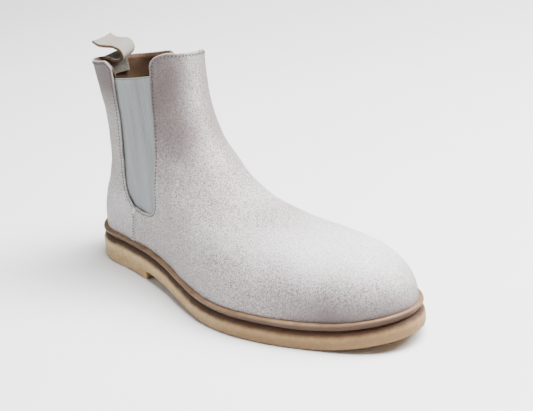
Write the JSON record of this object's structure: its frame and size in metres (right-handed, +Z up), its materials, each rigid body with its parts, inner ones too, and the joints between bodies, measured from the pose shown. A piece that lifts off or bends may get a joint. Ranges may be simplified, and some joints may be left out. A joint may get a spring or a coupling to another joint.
{
  "type": "chelsea boot",
  "caption": "Ankle-high slip-on suede chelsea boot for the right foot with elastic side gussets, crepe sole, leather lining and a pull tab at the back.",
  "frame": {"origin": "centre of the sole's footprint, on the ground", "axes": "+X towards the toe, +Y towards the inner side of the foot, +Z up"},
  "size_m": [0.3, 0.1095, 0.176],
  "materials": {
    "crepe": "natural crepe, satin, speckled",
    "midsole_edge": "dark brown edge, matt",
    "welt": "tan, satin edge",
    "cork": "matt granulated cork",
    "steel": "brushed",
    "board": "matt fibre board",
    "lining_leather": "smooth brown lining leather, satin",
    "suede": "light warm-grey suede, matt nap",
    "stiffener": "matt stiffened board",
    "tape": "woven tape, matt",
    "elastic": "ribbed grey elastic, matt",
    "tab_leather": "pale grey-beige leather, brown raw edges"
  },
  "bodies": {
    "boot": {"outsole": "crepe", "heel_block": "crepe", "midsole": "midsole_edge", "welt": "welt", "bottom_filler": "cork", "shank": "steel", "insole_board": "board", "sock_liner": "lining_leather", "front_upper": "suede", "heel_upper": "suede", "front_lining": "lining_leather", "heel_lining": "lining_leather", "toe_puff": "stiffener", "heel_counter": "stiffener", "front_collar_tape": "tape", "outer_gusset": "elastic", "inner_gusset": "elastic"},
    "back_shaft": {"back_shaft_upper": "suede", "back_shaft_lining": "lining_leather", "back_collar_tape": "tape", "pull_tab_root": "tab_leather"},
    "tab": {"pull_tab": "tab_leather"}
  },
  "joints": [
    {"name": "back_shaft_open", "type": "hinge", "parent": "boot", "child": "back_shaft", "pos_m": [-0.12499, 0.0036, 0.09825], "axis": [0, -1, 0], "range_deg": [0, 8], "stiffness_Nm_per_rad": 1.2, "deforming": ["outer_gusset", "inner_gusset"]},
    {"name": "pull_tab_flop", "type": "hinge", "parent": "back_shaft", "child": "tab", "pos_m": [-0.11499, -0.0014, 0.1585], "axis": [-0.225, 0.9744, 0], "range_deg": [-35, 30], "stiffness_Nm_per_rad": 0.02}
  ]
}
